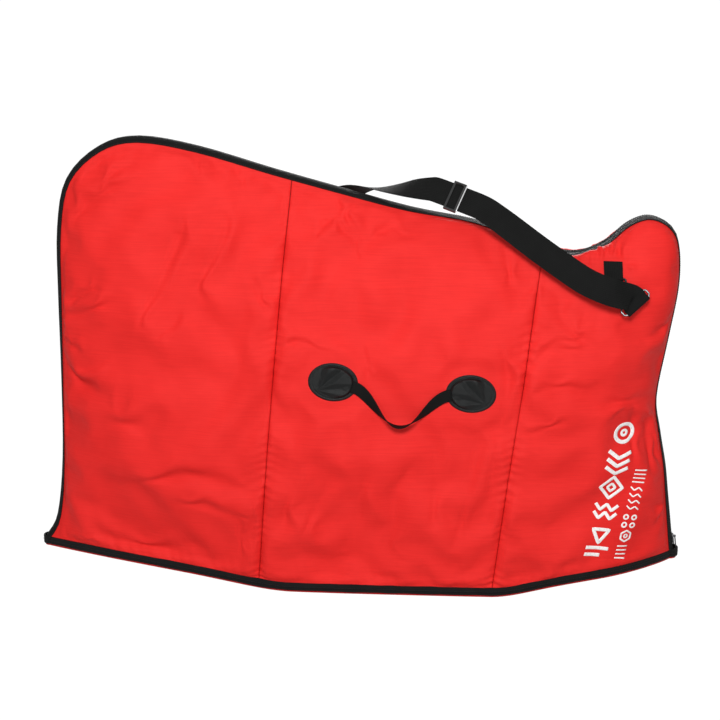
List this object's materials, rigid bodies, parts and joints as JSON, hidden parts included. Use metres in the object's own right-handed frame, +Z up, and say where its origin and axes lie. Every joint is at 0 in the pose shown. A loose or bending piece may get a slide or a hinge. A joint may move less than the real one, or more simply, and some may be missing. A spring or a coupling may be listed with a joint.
{
  "type": "soft bike travel bag",
  "caption": "Padded soft bag for a road bike without wheels, with a zip over the top, webbing handles on both sides and a shoulder strap on snap hooks.",
  "frame": {"origin": "middle of the flat underside, halfway along the zip line's length", "axes": "+X along the bag towards the small raised ear, -Y towards the side that folds down, +Z up"},
  "size_m": [1.238, 0.3126, 0.8532],
  "materials": {
    "padded_nylon": "bright red coated twill nylon over thin foam",
    "base_nylon": "red coated nylon, slightly darker",
    "foam": "grey closed-cell foam",
    "binding": "black grosgrain binding",
    "zip_tape": "black coil zip",
    "webbing": "black woven polypropylene webbing",
    "patch_leather": "black grained synthetic leather",
    "adjuster_plastic": "black moulded, slight sheen",
    "dark_metal": "black nickel",
    "steel": "nickel-plated wire and casting"
  },
  "bodies": {
    "shell": {"base_panel": "base_nylon", "base_pad": "foam", "left_tie_strap": "webbing", "right_tie_strap": "webbing", "front_base_binding": "binding", "back_base_binding": "binding", "back_panel_left": "padded_nylon", "back_panel_middle": "padded_nylon", "back_panel_right": "padded_nylon", "back_zip_half": "zip_tape", "back_handle_patch_left": "patch_leather", "back_handle_patch_right": "patch_leather", "back_ring_tab": "webbing", "strap_back": "webbing", "back_hook_eye": "steel", "strap_bridge": "webbing"},
    "front_flap": {"front_panel_left": "padded_nylon", "front_panel_middle": "padded_nylon", "front_panel_right": "padded_nylon", "front_zip_half": "zip_tape", "front_handle_patch_left": "patch_leather", "front_handle_patch_right": "patch_leather", "front_ring_tab": "webbing", "strap_front": "webbing", "front_hook_eye": "steel"},
    "front_handle": {"front_handle": "webbing"},
    "back_handle": {"back_handle": "webbing"},
    "front_ring": {"front_ring": "steel"},
    "back_ring": {"back_ring": "steel"},
    "front_hook": {"front_hook": "steel"},
    "back_hook": {"back_hook": "steel"},
    "front_gate": {"front_gate": "steel"},
    "back_gate": {"back_gate": "steel"},
    "zip_slider": {"zip_slider": "dark_metal"},
    "zip_pull": {"zip_pull": "dark_metal"},
    "strap_adjuster": {"strap_adjuster": "adjuster_plastic"}
  },
  "joints": [
    {"name": "flap_open", "type": "hinge", "parent": "shell", "child": "front_flap", "pos_m": [0, -0.11902, 0.012], "axis": [1, 0, 0], "range_deg": [0, 45], "deforming": ["strap_bridge"]},
    {"name": "front_handle_swing", "type": "hinge", "parent": "front_flap", "child": "front_handle", "pos_m": [0.0815, -0.12705, 0.41999], "axis": [-0.9975, 0.018, 0.0681], "range_deg": [0, 150]},
    {"name": "back_handle_swing", "type": "hinge", "parent": "shell", "child": "back_handle", "pos_m": [0.0815, 0.12705, 0.41999], "axis": [0.9975, 0.018, -0.0681], "range_deg": [0, 150]},
    {"name": "front_ring_swing", "type": "hinge", "parent": "front_flap", "child": "front_ring", "pos_m": [0.46053, -0.08065, 0.61279], "axis": [-0.9948, 0.1017, 0], "range_deg": [-4, 4]},
    {"name": "back_ring_swing", "type": "hinge", "parent": "shell", "child": "back_ring", "pos_m": [-0.44529, 0.06876, 0.62544], "axis": [0.9769, 0.2136, 0], "range_deg": [-4, 4]},
    {"name": "front_hook_swivel", "type": "hinge", "parent": "front_flap", "child": "front_hook", "pos_m": [0.47478, -0.09418, 0.59736], "axis": [0.6737, -0.3627, -0.6439], "range_deg": [-20, 20]},
    {"name": "back_hook_swivel", "type": "hinge", "parent": "shell", "child": "back_hook", "pos_m": [-0.46464, 0.06994, 0.6107], "axis": [-0.8408, -0.125, -0.5268], "range_deg": [-20, 20]},
    {"name": "front_gate_open", "type": "hinge", "parent": "front_hook", "child": "front_gate", "pos_m": [0.48259, -0.10403, 0.59181], "axis": [-0.7332, -0.2188, -0.6439], "range_deg": [0, 25], "stiffness_Nm_per_rad": 0.02, "springref_deg": -11.46},
    {"name": "back_gate_open", "type": "hinge", "parent": "back_hook", "child": "back_gate", "pos_m": [-0.47632, 0.07412, 0.60481], "axis": [0.498, 0.2031, -0.843], "range_deg": [0, 25], "stiffness_Nm_per_rad": 0.02, "springref_deg": -11.46},
    {"name": "zip_slide", "type": "slide", "parent": "shell", "child": "zip_slider", "axis": [-0.1329, 0, 0.9911], "range_m": [0, 0.085]},
    {"name": "zip_pull_hinge", "type": "hinge", "parent": "zip_slider", "child": "zip_pull", "pos_m": [0.60957, 0, 0.08537], "axis": [0, -1, 0], "range_deg": [0, 150]},
    {"name": "adjuster_slide", "type": "slide", "parent": "front_flap", "child": "strap_adjuster", "axis": [-0.9292, 0.1857, 0.3195], "range_m": [-0.035, 0.02]}
  ]
}
